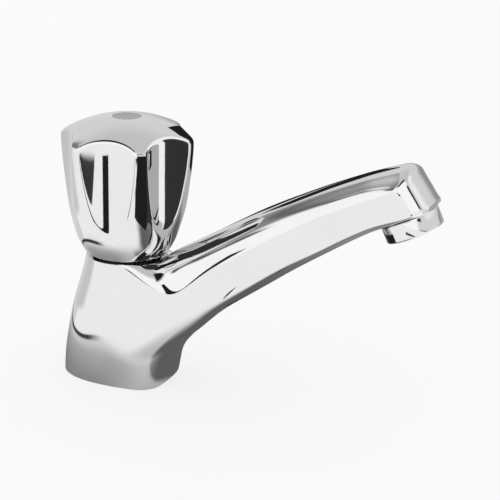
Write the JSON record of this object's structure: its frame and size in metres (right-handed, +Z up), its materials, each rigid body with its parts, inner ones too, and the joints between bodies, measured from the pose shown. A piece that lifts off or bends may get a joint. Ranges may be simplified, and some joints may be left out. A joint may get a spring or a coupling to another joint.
{
  "type": "pillar tap",
  "caption": "Deck-mounted chrome basin tap: a fluted knob under a shallow dome screws a washer valve open, and a fixed rising spout ends in a downturned aerator.",
  "frame": {"origin": "where the axis of the knob and the inlet tail meets the deck surface, level with the underside of the base", "axes": "+Z up along the knob's axis, +X towards the outlet of the spout, +Y to the left of the spout"},
  "size_m": [0.1588, 0.0522, 0.1557],
  "materials": {
    "chrome_casting": "polished chrome plate on a brass casting",
    "chrome_knob": "polished chrome plate",
    "chrome_ring": "polished chrome plate",
    "brass": "machined brass",
    "steel": "stainless steel",
    "zinc_steel": "zinc-plated pressed steel",
    "rubber": "matt black rubber",
    "fibre": "red vulcanised fibre",
    "nylon": "moulded white nylon",
    "button_grey": "moulded grey plastic"
  },
  "bodies": {
    "tap": {"tap_body": "chrome_casting", "inlet_tail": "brass", "tail_seal": "fibre", "deck_gasket": "rubber", "valve_seat": "brass", "aerator_ring": "chrome_ring", "aerator_gasket": "rubber", "aerator_insert": "nylon", "aerator_mesh": "steel", "bonnet": "brass", "bonnet_seal": "fibre", "thrust_washer": "nylon"},
    "handle": {"knob": "chrome_knob", "drive_bush": "nylon", "knob_screw": "steel", "index_button": "button_grey", "spindle": "brass", "spindle_o_rings": "rubber", "circlip": "steel"},
    "valve": {"jumper": "brass", "valve_washer": "rubber", "washer_nut": "brass"},
    "clamp": {"clamp_washer": "zinc_steel"},
    "nut": {"back_nut": "brass"}
  },
  "joints": [
    {"name": "handle_turn", "type": "hinge", "parent": "tap", "child": "handle", "pos_m": [0, 0, 0.06], "axis": [0, 0, 1], "range_deg": [0, 900]},
    {"name": "valve_lift", "type": "slide", "parent": "tap", "child": "valve", "axis": [0, 0, 1], "range_m": [0, 0.00501]},
    {"name": "back_nut_turn", "type": "hinge", "parent": "clamp", "child": "nut", "pos_m": [0, 0, -0.024], "axis": [0, 0, 1], "range_deg": [-3420, 2340]},
    {"name": "clamp_travel", "type": "slide", "parent": "tap", "child": "clamp", "axis": [0, 0, 1], "range_m": [-0.01724, 0.0118]}
  ],
  "couplings": [
    {"joint": "valve_lift", "follows": "handle_turn", "m_per_rad": 0.00031831},
    {"joint": "clamp_travel", "follows": "back_nut_turn", "m_per_rad": 0.00028871}
  ]
}
